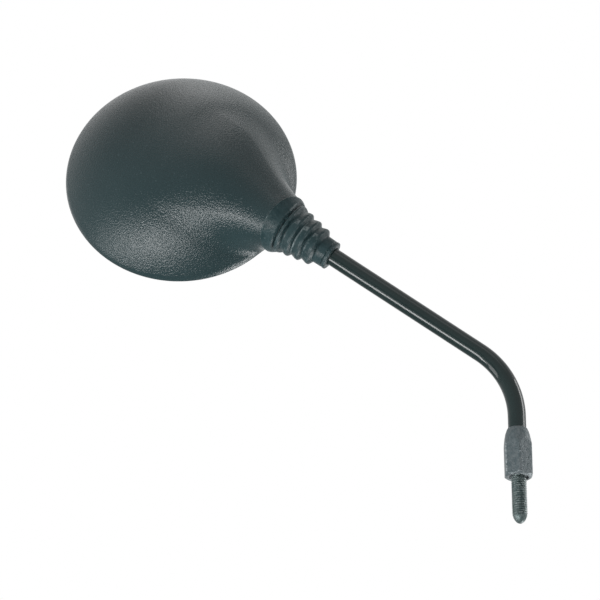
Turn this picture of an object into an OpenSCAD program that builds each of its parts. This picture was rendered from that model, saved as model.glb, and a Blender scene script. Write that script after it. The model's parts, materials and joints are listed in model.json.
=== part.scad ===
// Round motorcycle mirror: a domed plastic head on a ball joint, a rubber boot over the
// joint, a bent steel stem, a hex adapter and a threaded fixing stud.
// Millimetres. The origin is the centre of the adapter's seat face, +Z runs up the foot of
// the stem, the stem bends towards -X, and the domed back of the head faces -Y.

/* [Head] */
// Outer radius of the head at its rim
head_r = 60.5; // [57.5:0.5:63]
// Height of the straight band round the rim
rim_band = 2.4; // [2:0.1:2.8]
// Rise of the spherical dome above the band
dome_rise = 34; // [33:0.5:36]
// Wall of the moulded housing
shell_wall = 2.5; // [2:0.1:2.7]
// Lean of the head's back from upright, in degrees
head_lean = 8; // [4:0.5:12]

/* [Mirror glass] */
// Radius that the convex glass is bent to
glass_bend = 1200; // [1000:50:1400]
// Thickness of the glass
glass_t = 2; // [1.8:0.1:2.2]
// Width of the housing's lip that shows round the glass
lip_w = 5.1; // [4.9:0.1:5.5]
// Depth of the lip's edge in front of the gasket
lip_t = 0.45; // [0.4:0.05:0.6]
// Depth of the recess that holds the glass, gasket and backing plate
recess_depth = 6; // [5.8:0.1:6.4]
// Undercut of the recess behind the lip
recess_undercut = 0.7; // [0.5:0.05:0.8]
// Wall of the rubber gasket outside the glass
gasket_wall = 1.1; // [0.9:0.1:1.3]
// Thickness of the gasket's two lips
gasket_lip = 0.9; // [0.7:0.05:1]
// How far the gasket's lips reach over the glass
gasket_grip = 1.4; // [1:0.1:2]
// Thickness of the backing plate
plate_t = 1.5; // [1.2:0.1:1.6]

/* [Ball joint] */
// Radius of the ball
ball_r = 8; // [7.6:0.1:8.2]
// Thickness of the nylon liner round the ball
liner_t = 1.45; // [1.3:0.05:1.6]
// Distance of the ball's centre outside the rim's circle
ball_out = 1.9; // [1.4:0.1:2.4]
// Height of the ball's centre above the rim plane
ball_rise = 20.2; // [19.6:0.1:20.8]
// Radius of the ball's neck
neck_r = 3.75; // [3.5:0.05:3.9]
// Distance from the ball's centre to the end of the stem tube
tube_gap = 12; // [11.5:0.25:13]
// Length of the ball stud's shank inside the stem tube
shank_len = 22; // [16:1:30]
// Half angle of the liner's mouth, in degrees
liner_mouth = 50; // [48:0.5:53]
// Half angle of the housing's mouth at the socket, in degrees
socket_mouth = 52; // [51:0.5:55]

/* [Neck of the housing] */
// Distance from the ball's centre to the middle of the boot's seat
boot_base = 3; // [2.5:0.25:3.5]
// Rake of the boot's seat towards the dome, in degrees
seat_rake = 19.4; // [16:0.2:20]
// Turn of the rake about the neck, from the glass side, in degrees
seat_twist = 22; // [0:1:30]
// Radius of the neck fairing at the boot's seat
fairing_r = 15.6; // [15.2:0.1:16.2]
// Half angle by which the fairing widens towards the dome, in degrees
fairing_flare = 12; // [10:0.5:14]
// Length of the fairing from the seat into the dome
fairing_len = 36; // [32:1:40]
// Radius of the spigot that the boot fits over
spigot_r = 11.6; // [11.2:0.1:11.8]
// Length of the spigot beyond the middle of the seat
spigot_len = 5; // [4.5:0.25:5.5]
// Radius of the mouth at the spigot's end
mouth_r = 9.6; // [9.2:0.1:9.8]

/* [Clamp] */
// Distance from the ball's centre to the clamp plate's face
clamp_face = 5; // [4.5:0.25:5.5]
// Thickness of the clamp plate
clamp_t = 5.8; // [5.4:0.1:6.4]
// Radius of the clamp plate round its dish
clamp_r = 10.6; // [10:0.1:11]
// Distance between the two clamp screws
screw_span = 24.6; // [24.2:0.1:24.8]
// Offset of the clamp screws from the ball's centre, the way that the seat is raked
screw_shift = 1.5; // [1:0.1:2]
// Radius of the clamp plate's ears round the screws
clamp_ear = 2.9; // [2.8:0.05:3]
// Radius of a clamp screw's shank
screw_r = 1.5; // [1.25:0.05:1.6]
// Length of a clamp screw under its head
screw_len = 12; // [11:0.5:12.5]
// Radius of a clamp screw's head
screw_head_r = 2.6; // [2.4:0.1:2.6]
// Height of a clamp screw's head
screw_head_h = 2; // [1.6:0.1:2.4]
// Thickness of a spring washer
washer_t = 0.7; // [0.5:0.1:0.9]

/* [Stem] */
// Outer radius of the stem tube
stem_r = 4.75; // [4.6:0.05:4.9]
// Wall of the stem tube
stem_wall = 1.5; // [1.2:0.1:1.8]
// Height of the point where the stem's two straight axes cross
bend_z = 56.3; // [52.3:0.5:62.3]
// Radius of the bend at the tube's axis
bend_r = 45; // [38:1:48]
// Angle of the bend, in degrees
bend_angle = 53.2; // [48:0.2:58]
// Distance from the crossing of the axes to the ball's centre
stem_reach = 151.6; // [130:0.2:190]

/* [Adapter and stud] */
// Width of the hex across its flats
hex_af = 14; // [13.5:0.5:15]
// Height of the adapter
hex_h = 26.8; // [25:0.2:30]
// Turn of the hex about its axis, in degrees
hex_turn = 37; // [0:1:60]
// Chamfer at the hex's lower edge
hex_chamfer = 1.2; // [0.8:0.1:1.4]
// Height of the rounded shoulder at the top of the hex
shoulder_h = 8.4; // [7:0.2:9]
// Radius of the adapter at its top edge
shoulder_top_r = 5.25; // [5.1:0.05:5.5]
// Depth of the socket that holds the stem tube
tube_socket = 12.4; // [10:0.2:12.6]
// Radius of the threaded stud, an M8 thread
stud_r = 4; // [3.95:0.05:4.1]
// Length of the stud's full thread below the seat face
stud_len = 19.6; // [15:0.2:30]
// Radius of the stud's thin neck, which the adapter holds
stud_neck_r = 3.4; // [3.3:0.05:3.5]
// Length of the thin neck below the seat face
stud_neck = 0.4; // [0.3:0.05:0.6]
// Length of the stud's rounded tip
stud_tip = 5.8; // [4:0.2:6]
// Depth of the stud in the adapter
stud_depth = 12; // [8:0.5:12]
// Depth of the relief round the stud in the seat face
relief_depth = 0.8; // [0.4:0.1:1]
// Radius of the relief round the stud
relief_r = 5.1; // [4.8:0.1:5.4]

/* [Boot] */
// Radius of the boot's collar at its seat
collar_r = 16.3; // [16.1:0.1:16.6]
// Radius of the collar's top edge
collar_top_r = 14.5; // [14.3:0.1:14.8]
// Distance from the seat's middle to the first rib
first_rib = 5; // [4.6:0.1:5.2]
// Depth of the shallow groove between the collar and the first rib
collar_groove = 1.2; // [0.8:0.1:1.4]
// Spacing of the ribs
rib_pitch = 5.85; // [5.6:0.05:6]
// Number of ribs
rib_count = 4; // [3:1:5]
// Radius of the first rib
rib_r = 13.9; // [13.7:0.1:14.2]
// Drop in radius from one rib to the next
rib_step = 1.13; // [1:0.01:1.2]
// Depth of the groove behind each rib
groove_depth = 1.9; // [1.5:0.1:2]
// Distance from a rib to the groove behind it
groove_lag = 2.3; // [2:0.1:2.6]
// Half width of a rib's crest and of a groove's floor
crest_w = 0.45; // [0.3:0.05:0.6]
// Wall of the bellows
boot_wall = 1.5; // [1.2:0.1:1.6]
// Radius of the boot's tail
tail_r = 7.7; // [7.4:0.1:8]
// Length of the tail beyond the last groove
tail_len = 7.2; // [6:0.2:9]
// Thickness of the rounded bead at the tail's end
tail_bead = 0.9; // [0.6:0.1:1.2]

/* [Clearances] */
// Running clearance of the ball and of the liner
joint_fit = 0.05; // [0.03:0.01:0.08]
// Clearance of pieces that are pressed or screwed together
press_gap = 0.03; // [0.02:0.01:0.05]
// Clearance of the rubber boot from what it covers
boot_gap = 0.3; // [0.2:0.05:0.4]

/* [Hidden] */

// Smoothness of round faces
$fn = 96;
// Overshoot of a cut beyond the face that it opens
cut = 1;
// Size of the blocks that cut a piece along a plane
far = 200;

// Stem: where the bend starts and ends
bend_tangent = bend_r * tan(bend_angle / 2);
bend_start = bend_z - bend_tangent;
bore_r = stem_r - stem_wall;
tube_foot = hex_h - tube_socket + press_gap;
ball_pos = [-stem_reach * sin(bend_angle), 0, bend_z + stem_reach * cos(bend_angle)];

// Head: the neck's axis seen from the head's rim plane
neck_azimuth = atan(cos(head_lean) / tan(bend_angle));
neck_dip = asin(cos(bend_angle) * sin(head_lean));
ball_reach = head_r + ball_out;

// Dome: a sphere through the top of the rim's band
dome_r = (head_r * head_r + dome_rise * dome_rise) / (2 * dome_rise);
dome_centre = rim_band + dome_rise - dome_r;

// Glass and what holds it, as radii and as heights above the rim plane
lip_r = head_r - lip_w;
recess_r = lip_r + recess_undercut;
gasket_r = recess_r - press_gap;
glass_r = gasket_r - gasket_wall;
gasket_front = lip_t + press_gap;
glass_front = gasket_front + gasket_lip;
glass_back = glass_front + glass_t;
gasket_back = glass_back + gasket_lip + 2 * press_gap;
plate_back = recess_depth - press_gap;
plate_front = plate_back - plate_t;
arc_steps = 24;

// Ball joint: nested spheres round the ball's centre
liner_in = ball_r + joint_fit;
liner_out = liner_in + liner_t;
socket_r = liner_out + joint_fit;
split_gap = 0.15;
rear_hole_r = 3;

// Clamp: levels behind the ball's centre, and the places of the two screws
clamp_back = clamp_face + clamp_t;
screw_seat = clamp_back + washer_t + press_gap;
screw_places = [for (side = [-1, 1]) [screw_shift, side * screw_span / 2]];
washer_r = screw_head_r + 0.2;
drive_sides = 6;

// Boot: profile points as [radius, distance from the middle of the seat]
last_rib = first_rib + (rib_count - 1) * rib_pitch;
tail_start = last_rib + groove_lag;
tail_end = tail_start + tail_len;
boot_bore = stem_r + boot_gap;
spigot_bore = spigot_r + boot_gap;

function sag(r) = glass_bend - sqrt(glass_bend * glass_bend - r * r);

// Points of a bent face from one radius to another, at a height over the rim plane
function bent_face(r0, r1, z0, edge_r) = [
    for (i = [0:arc_steps])
        let (r = r0 + (r1 - r0) * i / arc_steps) [r, z0 - sag(edge_r) + sag(r)]
];

function crest(i) = rib_r - rib_step * i;
function crest_at(i) = first_rib + rib_pitch * i;

// Outer and inner outline of one rib and the groove behind it
function rib_points(i, inset) = [
    [crest(i) - inset, crest_at(i) - crest_w],
    [crest(i) - inset, crest_at(i) + crest_w],
    [crest(i) - groove_depth - inset, crest_at(i) + groove_lag - crest_w],
    [crest(i) - groove_depth - inset, crest_at(i) + groove_lag + crest_w]
];

function boot_outside() = concat(
    [
        [collar_r, -far / 10],
        [collar_r, 0],
        [collar_top_r, first_rib - 4 * crest_w],
        [crest(0) - collar_groove, first_rib - 2.4 * crest_w]
    ],
    [for (i = [0:rib_count - 2]) each rib_points(i, 0)],
    [
        [crest(rib_count - 1), last_rib - crest_w],
        [crest(rib_count - 1), last_rib + crest_w],
        [tail_r, tail_start],
        [tail_r, tail_end - 2 * tail_bead],
        [tail_r + tail_bead / 3, tail_end - 1.5 * tail_bead],
        [tail_r + tail_bead / 3, tail_end - tail_bead / 2],
        [tail_r, tail_end]
    ]
);

function boot_inside() = concat(
    [[boot_bore, tail_end + cut], [boot_bore, tail_start]],
    [[crest(rib_count - 1) - boot_wall, last_rib]],
    [
        for (i = [rib_count - 2:-1:0]) each [
            [crest(i) - groove_depth - boot_wall, crest_at(i) + groove_lag],
            [crest(i) - boot_wall, crest_at(i) + (i == 0 ? crest_w : 0)]
        ]
    ],
    [[spigot_bore, spigot_len + 2 * boot_gap], [spigot_bore, -far / 10 - cut]]
);

// Frames: origin at the ball's centre, X out along the neck in the rim plane, Z to the crown
module at_ball() {
    translate(ball_pos)
        rotate([90 - head_lean, 0, 0])
            rotate([0, 0, -neck_azimuth])
                children();
}

// Origin at the middle of the rim plane, Z towards the crown of the dome
module at_head() {
    at_ball() translate([-ball_reach, 0, -ball_rise]) children();
}

// Origin at the ball's centre, Z out along the neck, X towards the glass side
module at_neck() {
    at_ball() rotate([0, 90 + neck_dip, 0]) children();
}

// Origin at the ball's centre, Z out along the neck, X the way that the seat is raked
module at_raked_neck() {
    at_neck() rotate([0, 0, seat_twist]) children();
}

// Origin at the middle of the boot's seat, Z square to the raked seat
module at_seat() {
    at_raked_neck() translate([0, 0, boot_base]) rotate([0, -seat_rake, 0]) children();
}

// Section of the stem tube
module tube_ring() {
    difference() {
        circle(r = stem_r);
        circle(r = bore_r);
    }
}

// Tube with an upright foot, one bend, and a straight run to the ball joint
module stem_tube() {
    color("#26302f") {
        translate([0, 0, tube_foot]) linear_extrude(bend_start - tube_foot) tube_ring();
        translate([-bend_r, 0, bend_start])
            rotate([90, 0, 0])
                rotate_extrude(angle = bend_angle)
                    translate([bend_r, 0]) tube_ring();
        translate([0, 0, bend_z])
            rotate([0, -bend_angle, 0])
                translate([0, 0, bend_tangent])
                    linear_extrude(stem_reach - tube_gap - bend_tangent) tube_ring();
    }
}

module ball_stud() {
    color("#8d9395") at_neck() {
        sphere(r = ball_r);
        cylinder(r = neck_r, h = tube_gap - press_gap);
        cylinder(r = bore_r - press_gap, h = tube_gap + shank_len);
    }
}

// Round outline that turns the top of the hex into a shoulder
module adapter_round() {
    corner_r = hex_af / sqrt(3);
    spare = 0.3;
    chamfer_in = hex_af / 2 - hex_chamfer / 3;
    chamfer_slope = hex_chamfer / (corner_r - chamfer_in);
    shoulder_z = hex_h - shoulder_h;
    flank = [hex_af / 2 + 0.15, shoulder_z + 0.15 * shoulder_h];
    flank_slope = (flank[1] - shoulder_z + corner_r - hex_af / 2) / (corner_r - flank[0]);
    rotate_extrude() polygon([
        [0, 0],
        [chamfer_in, 0],
        [corner_r + spare, hex_chamfer + spare * chamfer_slope],
        [corner_r + spare, shoulder_z - corner_r + hex_af / 2 - spare * flank_slope],
        flank,
        [hex_af / 2 - 0.3, shoulder_z + 0.4 * shoulder_h],
        [hex_af / 2 - 0.65, shoulder_z + 0.62 * shoulder_h],
        [shoulder_top_r + 0.6, shoulder_z + 0.8 * shoulder_h],
        [shoulder_top_r + 0.15, hex_h - 0.5],
        [shoulder_top_r - 0.2, hex_h],
        [0, hex_h]
    ]);
}

module hex_adapter() {
    color("#3a4347") difference() {
        intersection() {
            rotate([0, 0, hex_turn]) cylinder(r = hex_af / sqrt(3), h = hex_h, $fn = 6);
            adapter_round();
        }
        translate([0, 0, -cut]) cylinder(r = stud_neck_r + press_gap, h = stud_depth + press_gap + cut);
        translate([0, 0, -cut]) cylinder(r = relief_r, h = relief_depth + cut);
        translate([0, 0, hex_h - tube_socket])
            cylinder(r = stem_r + press_gap, h = tube_socket + cut);
    }
}

// Stud with a rounded tip; the tip's radius falls off as a blunt curve
module threaded_stud() {
    steps = 10;
    tip = [
        for (i = [0:steps])
            let (x = i / steps) [stud_r * sqrt(1 - pow(x, 1.6)), -stud_len - stud_tip * x]
    ];
    color("#2c3234") {
        translate([0, 0, -stud_len]) cylinder(r = stud_r, h = stud_len - stud_neck);
        translate([0, 0, -2 * stud_neck]) cylinder(r = stud_neck_r, h = stud_depth + 2 * stud_neck);
        rotate_extrude() polygon(concat([[0, -stud_len]], tip));
    }
}

// Bellows boot: collar on the housing's spigot, ribs, and a tail that grips the stem
module rubber_boot() {
    color("#1d2223") difference() {
        at_neck() translate([0, 0, boot_base])
            rotate_extrude() polygon(concat(boot_outside(), boot_inside()));
        at_seat() translate([-far / 2, -far / 2, boot_gap - far]) cube([far, far, far]);
    }
}

module liner_shell() {
    difference() {
        sphere(r = liner_out);
        sphere(r = liner_in);
    }
}

// Front half of the liner, with the mouth that the ball's neck swings in
module ball_seat_front() {
    color("#d9d9d2") at_neck() difference() {
        liner_shell();
        translate([-far / 2, -far / 2, split_gap - far]) cube([far, far, far]);
        cylinder(r1 = 0, r2 = 2 * liner_out * tan(liner_mouth), h = 2 * liner_out);
    }
}

// Rear half of the liner, with a grease hole
module ball_seat_rear() {
    color("#d9d9d2") at_neck() difference() {
        liner_shell();
        translate([-far / 2, -far / 2, -split_gap]) cube([far, far, far]);
        translate([0, 0, -liner_out - cut]) cylinder(r = rear_hole_r, h = liner_out + cut);
    }
}

// Spherical dome on the rim's band, drawn in from the outside by an inset
module dome(inset) {
    intersection() {
        translate([0, 0, dome_centre]) sphere(r = dome_r - inset);
        cylinder(r = head_r - inset, h = 2 * dome_rise);
    }
}

// Fairing that carries the neck, drawn in from the outside by an inset
module fairing(inset) {
    intersection() {
        at_seat() translate([0, 0, -fairing_len])
            cylinder(
                r1 = fairing_r + fairing_len * tan(fairing_flare) - inset,
                r2 = fairing_r - inset,
                h = fairing_len
            );
        at_head() translate([-far / 2, -far / 2, inset]) cube([far, far, far]);
    }
}

// Socket for the liner, the mouth for the ball's neck, and the pocket behind them
module ball_socket() {
    mouth_start = socket_r * cos(socket_mouth);
    mouth_end = boot_base + spigot_len + cut;
    slope = (mouth_r - socket_r * sin(socket_mouth)) / (mouth_end - cut - mouth_start);
    at_neck() {
        sphere(r = socket_r);
        translate([0, 0, -clamp_face - cut]) cylinder(r = socket_r, h = clamp_face + cut);
        translate([0, 0, mouth_start])
            cylinder(
                r1 = socket_r * sin(socket_mouth),
                r2 = mouth_r + cut * slope,
                h = mouth_end - mouth_start
            );
    }
}

// Moulded housing: dome, neck fairing, spigot, ball socket, glass recess and screw holes
module housing_shell() {
    color("#2b3233") difference() {
        union() {
            at_head() dome(0);
            fairing(0);
            at_neck() cylinder(r = spigot_r, h = boot_base + spigot_len);
        }
        at_head() dome(shell_wall);
        intersection() {
            fairing(shell_wall);
            at_neck() translate([-far / 2, -far / 2, -far - clamp_face]) cube([far, far, far]);
        }
        at_head() translate([0, 0, lip_t]) cylinder(r = recess_r, h = recess_depth - lip_t);
        at_head() translate([0, 0, -cut]) cylinder(r = lip_r, h = lip_t + 2 * cut);
        ball_socket();
        at_raked_neck() {
            translate([0, 0, -far / 10]) linear_extrude(far / 10 - clamp_face) clamp_outline(boot_gap);
            for (p = screw_places)
                translate([p[0], p[1], -clamp_face - cut])
                    cylinder(r = screw_r + press_gap, h = screw_len - clamp_t - washer_t + 2 * cut);
        }
    }
}

// Outline of the clamp plate, let out by a gap
module clamp_outline(gap) {
    circle(r = clamp_r + gap);
    for (p = screw_places) translate(p) circle(r = clamp_ear + gap);
    translate([screw_shift, 0]) square([2 * (clamp_ear + gap), screw_span], center = true);
}

// Clamp plate: a dished block that holds the liner's rear half from inside the head
module clamp_plate() {
    color("#4c5254") at_raked_neck() difference() {
        translate([0, 0, -clamp_back])
            linear_extrude(clamp_t - press_gap) clamp_outline(0);
        sphere(r = socket_r);
        translate([0, 0, -clamp_back - cut]) cylinder(r = rear_hole_r, h = clamp_t);
        for (p = screw_places)
            translate([p[0], p[1], -clamp_back - cut])
                cylinder(r = screw_r + 2 * press_gap, h = clamp_t + 2 * cut);
    }
}

module clamp_screw(i) {
    color("#a9adae") at_raked_neck()
        translate([screw_places[i][0], screw_places[i][1], -screw_seat]) difference() {
            union() {
                cylinder(r = screw_r, h = screw_len);
                intersection() {
                    translate([0, 0, -screw_head_h]) cylinder(r = screw_head_r, h = screw_head_h);
                    translate([0, 0, screw_head_r - screw_head_h])
                        sphere(r = 1.25 * screw_head_r);
                }
            }
            translate([0, 0, -screw_head_h - cut])
                cylinder(r = 0.55 * screw_head_r, h = screw_head_h / 2 + cut, $fn = drive_sides);
        }
}

module clamp_washer(i) {
    color("#b7babb") at_raked_neck()
        translate([screw_places[i][0], screw_places[i][1], -clamp_back - washer_t])
            difference() {
                cylinder(r = washer_r, h = washer_t);
                translate([0, 0, -cut]) cylinder(r = screw_r + 2 * press_gap, h = washer_t + 2 * cut);
            }
}

// Convex glass, bent to a large sphere that bulges towards the rider
module mirror_glass() {
    front = bent_face(0, glass_r - press_gap, glass_front + press_gap, glass_r);
    back = bent_face(glass_r - press_gap, 0, glass_back, glass_r);
    color("#b9c4c8") at_head() rotate_extrude() polygon(concat(front, back));
}

// Rubber channel that grips the edge of the glass
module glass_gasket() {
    grip_r = glass_r - gasket_grip;
    color("#1b1f20") at_head() rotate_extrude() polygon([
        [grip_r, gasket_front],
        [gasket_r, gasket_front],
        [gasket_r, gasket_back],
        [grip_r, gasket_back],
        [grip_r, glass_back + press_gap],
        [glass_r, glass_back + press_gap],
        [glass_r, glass_front],
        [grip_r, glass_front - sag(glass_r) + sag(grip_r)]
    ]);
}

// Foam between the bent glass and the flat backing plate
module foam_pad() {
    foam_r = glass_r - gasket_grip - 3 * press_gap;
    color("#4a4d4e") at_head() rotate_extrude() polygon(concat(
        bent_face(0, foam_r, glass_back + press_gap, glass_r),
        [[foam_r, plate_front - press_gap], [0, plate_front - press_gap]]
    ));
}

// Stiff disc that presses the glass and foam against the lip, with a ring rib on its back
module backing_plate() {
    rib_in = 20;
    rib_w = 1.6;
    rib_h = 2.2;
    color("#3d4244") at_head() difference() {
        union() {
            translate([0, 0, plate_front]) cylinder(r = gasket_r, h = plate_t);
            translate([0, 0, plate_front]) cylinder(r = rib_in + rib_w, h = plate_t + rib_h);
        }
        translate([0, 0, plate_back]) cylinder(r = rib_in, h = rib_h + cut);
    }
}

stem_tube();
ball_stud();
hex_adapter();
threaded_stud();
rubber_boot();
ball_seat_front();
ball_seat_rear();
housing_shell();
clamp_plate();
for (i = [0:1]) {
    clamp_screw(i);
    clamp_washer(i);
}
mirror_glass();
glass_gasket();
foam_pad();
backing_plate();
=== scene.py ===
"""Looks of a round motorcycle mirror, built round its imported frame.

Sizes are in millimetres and are turned into metres by Axes.place. The head, boot, stem,
adapter and stud are dressed pieces, and the parts inside the head keep their own solids.
"""

import functools
import json
import logging
import math
from collections.abc import Callable, Sequence
from dataclasses import dataclass, field
from enum import Enum

import bmesh
import bpy
import numpy as np
from mathutils import Matrix, Vector


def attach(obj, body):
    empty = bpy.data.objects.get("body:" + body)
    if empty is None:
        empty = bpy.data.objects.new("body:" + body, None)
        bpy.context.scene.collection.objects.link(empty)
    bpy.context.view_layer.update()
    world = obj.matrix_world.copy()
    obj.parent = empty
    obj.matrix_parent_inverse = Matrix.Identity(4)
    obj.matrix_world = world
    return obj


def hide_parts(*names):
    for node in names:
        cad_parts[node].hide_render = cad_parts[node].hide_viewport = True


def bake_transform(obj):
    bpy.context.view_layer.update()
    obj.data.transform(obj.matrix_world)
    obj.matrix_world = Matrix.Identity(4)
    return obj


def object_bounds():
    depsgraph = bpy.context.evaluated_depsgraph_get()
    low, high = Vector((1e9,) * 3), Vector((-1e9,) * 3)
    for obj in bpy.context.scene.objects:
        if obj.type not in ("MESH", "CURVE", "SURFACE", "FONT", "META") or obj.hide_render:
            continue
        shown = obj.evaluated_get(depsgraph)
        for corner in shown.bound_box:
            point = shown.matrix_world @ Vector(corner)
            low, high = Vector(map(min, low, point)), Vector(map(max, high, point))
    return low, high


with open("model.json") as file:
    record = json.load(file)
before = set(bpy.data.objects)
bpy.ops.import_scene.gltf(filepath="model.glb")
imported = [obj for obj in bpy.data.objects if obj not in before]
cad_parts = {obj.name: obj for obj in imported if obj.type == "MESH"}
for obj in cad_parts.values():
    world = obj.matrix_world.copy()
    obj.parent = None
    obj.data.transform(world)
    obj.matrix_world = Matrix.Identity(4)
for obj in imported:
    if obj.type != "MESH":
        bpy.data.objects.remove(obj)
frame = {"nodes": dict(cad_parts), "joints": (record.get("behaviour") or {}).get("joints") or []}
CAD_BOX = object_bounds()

LOG = logging.getLogger("mirror")
MM = 0.001
Array = np.ndarray
Triple = tuple[float, float, float]
Pair = tuple[float, float]
Socket = bpy.types.NodeSocket
Thing = bpy.types.Object


# Geometry helpers


@dataclass(frozen=True)
class Axes:
    """A local frame: an origin in metres and three unit directions."""

    origin: Array
    x: Array
    y: Array
    z: Array

    def place(self, points: Array) -> Array:
        """Moves local points into the row frame.

        Args:
            points: local points in millimetres, with x, y and z last.

        Returns:
            The same points in metres.
        """
        p = np.asarray(points, float) * MM
        return self.origin + p[..., 0:1] * self.x + p[..., 1:2] * self.y + p[..., 2:3] * self.z

    def local(self, points: Array) -> Array:
        """Returns row frame points in metres as local points in millimetres."""
        p = (np.asarray(points, float) - self.origin) / MM
        return np.stack([p @ self.x, p @ self.y, p @ self.z], axis=-1)

    def shifted(self, offset: Sequence[float]) -> "Axes":
        """Returns the frame with its origin moved by local millimetres."""
        return Axes(self.place(np.array(offset, float)), self.x, self.y, self.z)

    def turned_about_y(self, degrees: float) -> "Axes":
        """Returns the frame turned about its own y direction."""
        c, s = math.cos(math.radians(degrees)), math.sin(math.radians(degrees))
        return Axes(self.origin, c * self.x - s * self.z, self.y, s * self.x + c * self.z)

    def turned_about_z(self, degrees: float) -> "Axes":
        """Returns the frame turned about its own z direction."""
        c, s = math.cos(math.radians(degrees)), math.sin(math.radians(degrees))
        return Axes(self.origin, c * self.x + s * self.y, c * self.y - s * self.x, self.z)


# Half angle past which a corner counts as straight, and a rounding's share of a side
NEARLY_STRAIGHT = math.radians(89)
LONGEST_RUN = 0.49
WORLD = Axes(np.zeros(3), np.array([1.0, 0, 0]), np.array([0, 1.0, 0]), np.array([0, 0, 1.0]))


def smooth_min(a: Array, b: Array, reach: float) -> Array:
    """Returns the smaller of two distances, with a rounded change-over of that reach."""
    h = np.clip(reach - np.abs(a - b), 0, None) / reach
    return np.minimum(a, b) - h * h * reach / 4


def smooth_max(a: Array, b: Array, reach: float) -> Array:
    """Returns the larger of two distances, with a rounded change-over of that reach."""
    return -smooth_min(-a, -b, reach)


def turns(count: int) -> Array:
    """Returns evenly spaced angles round a full turn, starting at 0."""
    return np.arange(count) * 2 * math.pi / count


def around(angle: Array, r: Array | float = 1.0, z: Array | float = 0.0) -> Array:
    """Returns points at angles round the z axis, at a radius and a height."""
    x, y = r * np.cos(angle), r * np.sin(angle)
    return np.stack([x, y, z + 0 * x], axis=-1)


def unit(vectors: Array) -> Array:
    """Returns vectors scaled to a length of one."""
    return vectors / np.linalg.norm(vectors, axis=-1, keepdims=True)


def round_path(points: Sequence[Sequence[float]], steps: int = 4) -> Array:
    """Rounds the corners of a path.

    Args:
        points: rows of x, y and the corner's radius; the two ends stay sharp.
        steps: segments in each rounded corner.

    Returns:
        The rounded path as rows of x and y.
    """
    pts = np.array([p[:2] for p in points], float)
    out = [pts[0]]
    for i in range(1, len(pts) - 1):
        radius = points[i][2]
        back, ahead = pts[i - 1] - pts[i], pts[i + 1] - pts[i]
        len_b, len_a = np.linalg.norm(back), np.linalg.norm(ahead)
        back, ahead = back / len_b, ahead / len_a
        half = math.acos(float(np.clip(back @ ahead, -1, 1))) / 2
        if radius <= 0 or half > NEARLY_STRAIGHT:
            out.append(pts[i])
            continue
        run = min(radius / math.tan(half), LONGEST_RUN * len_b, LONGEST_RUN * len_a)
        start, end = pts[i] + back * run, pts[i] + ahead * run
        for t in np.linspace(0, 1, steps + 1):
            out.append((1 - t) ** 2 * start + 2 * t * (1 - t) * pts[i] + t * t * end)
    out.append(pts[-1])
    return np.array(out)


def densify(path: Array, step: float) -> Array:
    """Returns a path with points added so that no stretch is longer than a step."""
    rows = [path[0]]
    for a, b in zip(path[:-1], path[1:]):
        n = max(1, math.ceil(float(np.linalg.norm(b - a)) / step))
        rows.extend(a + (b - a) * k / n for k in range(1, n + 1))
    return np.array(rows)


def grid_mesh(
    name: str, points: Array, sharp: float = 40.0, close_rows: bool = False
) -> Thing:
    """Turns a grid of points, whose columns run round the piece, into one clean mesh.

    Args:
        name: the object's name.
        points: rows by columns by three, in metres; the last column meets the first.
        sharp: edges that turn by more than this many degrees are shaded sharp.
        close_rows: joins the last row to the first as well.

    Returns:
        The new object, linked to the scene.
    """
    rows, cols = points.shape[:2]
    index = np.arange(rows * cols).reshape(rows, cols)
    lower = index if close_rows else index[:-1]
    upper = np.roll(index, -1, axis=0) if close_rows else index[1:]
    ahead = [np.roll(row, -1, axis=1) for row in (lower, upper)]
    quads = np.stack([lower, *ahead, upper], axis=-1)
    mesh = bpy.data.meshes.new(name)
    mesh.from_pydata(points.reshape(-1, 3).tolist(), [], quads.reshape(-1, 4).tolist())
    clean_mesh(mesh, sharp)
    obj = bpy.data.objects.new(name, mesh)
    bpy.context.scene.collection.objects.link(obj)
    return obj


def clean_mesh(mesh: bpy.types.Mesh, sharp: float) -> None:
    """Welds a mesh, drops empty faces, turns its faces outwards and marks sharp edges."""
    bm = bmesh.new()
    bm.from_mesh(mesh)
    bmesh.ops.remove_doubles(bm, verts=bm.verts, dist=2e-7)
    bmesh.ops.dissolve_degenerate(bm, edges=bm.edges, dist=1e-8)
    bmesh.ops.recalc_face_normals(bm, faces=bm.faces)
    limit = math.radians(sharp)
    for face in bm.faces:
        face.smooth = True
    for edge in bm.edges:
        if len(edge.link_faces) == 2:
            edge.smooth = edge.calc_face_angle(0.0) < limit
    bm.to_mesh(mesh)
    bm.free()


def lathe(
    axes: Axes, profile: Array, columns: int = 96, warp: Callable[[Array], Array] | None = None
) -> Array:
    """Turns a profile round an axis.

    Args:
        axes: the frame whose z is the axis.
        profile: rows of radius and height.
        columns: points round the axis.
        warp: an optional change to the local points, before they are placed.

    Returns:
        A grid of points in metres.
    """
    local = around(turns(columns), profile[:, :1], profile[:, 1:])
    return axes.place(local if warp is None else warp(local))


# Node helpers and shared effects


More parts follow.
